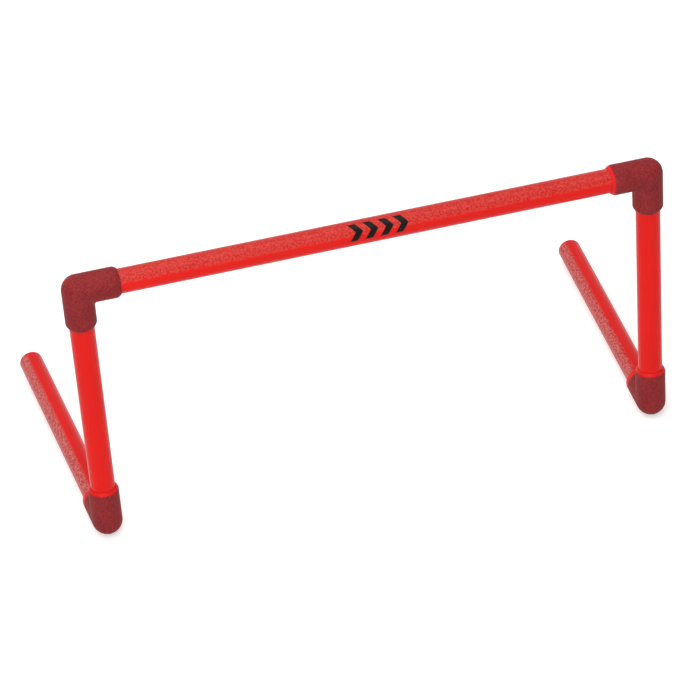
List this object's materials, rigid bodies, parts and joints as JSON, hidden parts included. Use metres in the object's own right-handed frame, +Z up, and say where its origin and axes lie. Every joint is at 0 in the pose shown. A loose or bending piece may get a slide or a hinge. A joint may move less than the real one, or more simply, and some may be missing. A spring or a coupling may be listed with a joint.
{
  "type": "speed hurdle",
  "caption": "Low training hurdle of red plastic pipe: a crossbar on uprights, joined by dark moulded elbows, with a swivelling foot pipe behind each upright.",
  "frame": {"origin": "on the floor, in the middle of the rectangle that the hurdle covers", "axes": "+X along the crossbar to the right, +Y back along the feet, +Z up"},
  "size_m": [0.6446, 0.3278, 0.3083],
  "materials": {
    "pipe": "extruded, satin gloss",
    "fitting": "moulded, fine matte grain",
    "plug": "moulded, satin"
  },
  "bodies": {
    "frame": {"crossbar": "pipe", "upper_left_elbow": "fitting", "upper_right_elbow": "fitting", "left_upright": "pipe", "right_upright": "pipe"},
    "left_foot": {"lower_left_elbow": "fitting", "left_foot_tube": "pipe", "left_foot_plug": "plug"},
    "right_foot": {"lower_right_elbow": "fitting", "right_foot_tube": "pipe", "right_foot_plug": "plug"}
  },
  "joints": [
    {"name": "left_foot_swivel", "type": "hinge", "parent": "frame", "child": "left_foot", "pos_m": [-0.2925, -0.14819, 0.01575], "axis": [0, 0, -1], "range_deg": [-86.8, 63.2]},
    {"name": "right_foot_swivel", "type": "hinge", "parent": "frame", "child": "right_foot", "pos_m": [0.2925, -0.14819, 0.01575], "axis": [0, 0, 1], "range_deg": [-86.8, 63.2]}
  ]
}
